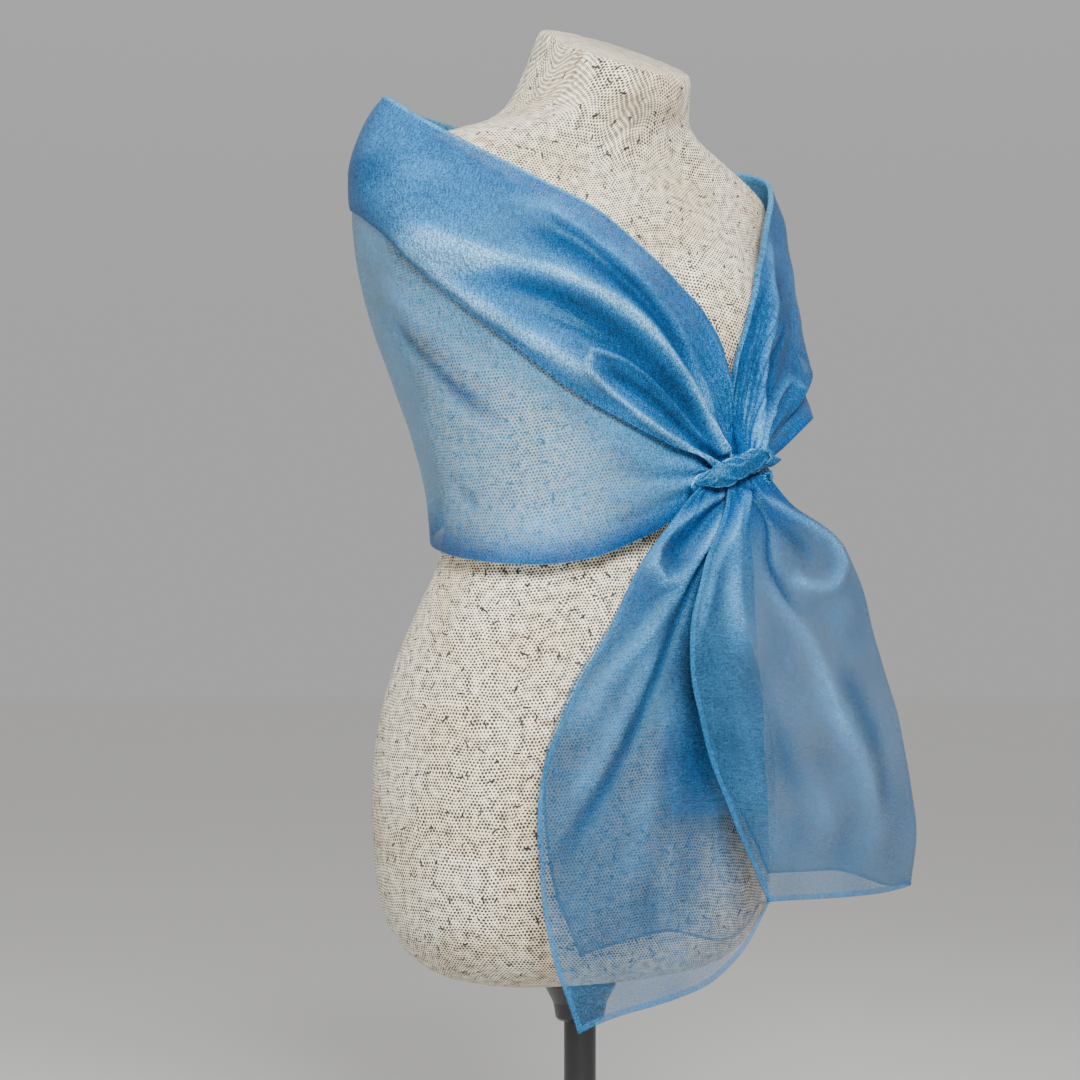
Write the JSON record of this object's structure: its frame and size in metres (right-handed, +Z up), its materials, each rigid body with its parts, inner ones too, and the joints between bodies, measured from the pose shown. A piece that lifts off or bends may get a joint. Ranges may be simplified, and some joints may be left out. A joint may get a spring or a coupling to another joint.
{
  "type": "evening stole on dress form",
  "caption": "Sheer organza evening stole folded over, wrapped round the upper arms and back of a limbless dress form and knotted at the front with two hanging tails.",
  "frame": {"origin": "centre of the stand's round underside, on the floor", "axes": "+Z up along the pole and the form; the form faces -Y and its own right arm is at -X"},
  "size_m": [0.416, 0.3377, 1.0367],
  "materials": {
    "form_cover": "ivory cover cloth with a fine pattern of dark dots",
    "stand_paint": "satin black paint",
    "organza": "sheer light blue organza with a soft sheen"
  },
  "bodies": {
    "root": {"form_body": "form_cover", "stand_base": "stand_paint", "stand_pole": "stand_paint", "stand_socket": "stand_paint", "stole_back": "organza", "stole_right_front": "organza", "stole_left_front": "organza", "stole_long_tail": "organza", "stole_short_tail": "organza", "knot_core": "organza", "knot_band": "organza", "knot_end": "organza"}
  },
  "joints": []
}
